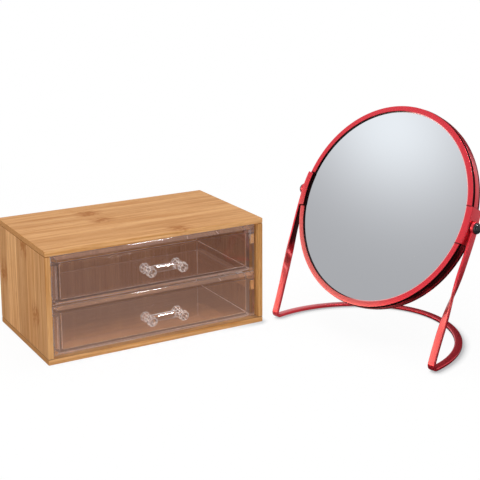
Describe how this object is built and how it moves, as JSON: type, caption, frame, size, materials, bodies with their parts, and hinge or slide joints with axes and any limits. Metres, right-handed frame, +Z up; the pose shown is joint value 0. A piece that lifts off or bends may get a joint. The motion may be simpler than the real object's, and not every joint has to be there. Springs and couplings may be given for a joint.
{
  "type": "vanity mirror with drawer",
  "caption": "Vanity set: a bamboo cabinet with clear drawers that slide on side runners, and a round tilting mirror that turns between the arms of a bent strip stand beside it.",
  "frame": {"origin": "centre of the cabinet's underside, on the surface that the set stands on", "axes": "+X along the cabinet's width towards the mirror's side, -Y out of the drawers, +Z up"},
  "size_m": [0.3821, 0.324, 0.2182],
  "materials": {
    "bamboo": "clear satin varnish over laminated bamboo strips",
    "clear_acrylic": "clear polished acrylic",
    "red_lacquer": "gloss red lacquer on steel",
    "silvered_glass": "silvered glass",
    "black_chrome": "black chrome",
    "zinc_steel": "zinc plated",
    "grey_card": "grey card"
  },
  "bodies": {
    "cabinet": {"cabinet_bottom_board": "bamboo", "cabinet_top_board": "bamboo", "cabinet_left_side": "bamboo", "cabinet_right_side": "bamboo", "cabinet_back_panel": "bamboo", "runner_lower_left": "bamboo", "runner_lower_right": "bamboo", "runner_upper_left": "bamboo", "runner_upper_right": "bamboo"},
    "drawer_lower": {"lower_drawer_front": "clear_acrylic", "lower_drawer_tray": "clear_acrylic", "lower_drawer_handle": "clear_acrylic"},
    "drawer_upper": {"upper_drawer_front": "clear_acrylic", "upper_drawer_tray": "clear_acrylic", "upper_drawer_handle": "clear_acrylic"},
    "mirror_stand": {"stand_strip": "red_lacquer"},
    "mirror_disc": {"rim_hoop_upper": "red_lacquer", "rim_hoop_lower": "red_lacquer", "rim_clip_left": "red_lacquer", "rim_clip_right": "red_lacquer", "mirror_glass_front": "silvered_glass", "mirror_glass_magnifying": "silvered_glass", "mirror_backing_card": "grey_card", "mirror_spacer_ring": "grey_card", "pivot_screw_left": "black_chrome", "pivot_screw_right": "black_chrome", "pivot_washer_left": "black_chrome", "pivot_washer_right": "black_chrome", "pivot_nut_left": "zinc_steel", "pivot_nut_right": "zinc_steel"}
  },
  "joints": [
    {"name": "lower_drawer_slide", "type": "slide", "parent": "cabinet", "child": "drawer_lower", "axis": [0, -1, 0], "range_m": [0, 0.09]},
    {"name": "upper_drawer_slide", "type": "slide", "parent": "cabinet", "child": "drawer_upper", "axis": [0, -1, 0], "range_m": [0, 0.09]},
    {"name": "mirror_stand_lift", "type": "slide", "parent": "cabinet", "child": "mirror_stand", "axis": [0, 0, 1], "range_m": [0, 0.15]},
    {"name": "mirror_tilt", "type": "hinge", "parent": "mirror_stand", "child": "mirror_disc", "pos_m": [0.2019, -0.1464, 0.1242], "axis": [0.2453, -0.9694, 0], "continuous": true}
  ]
}
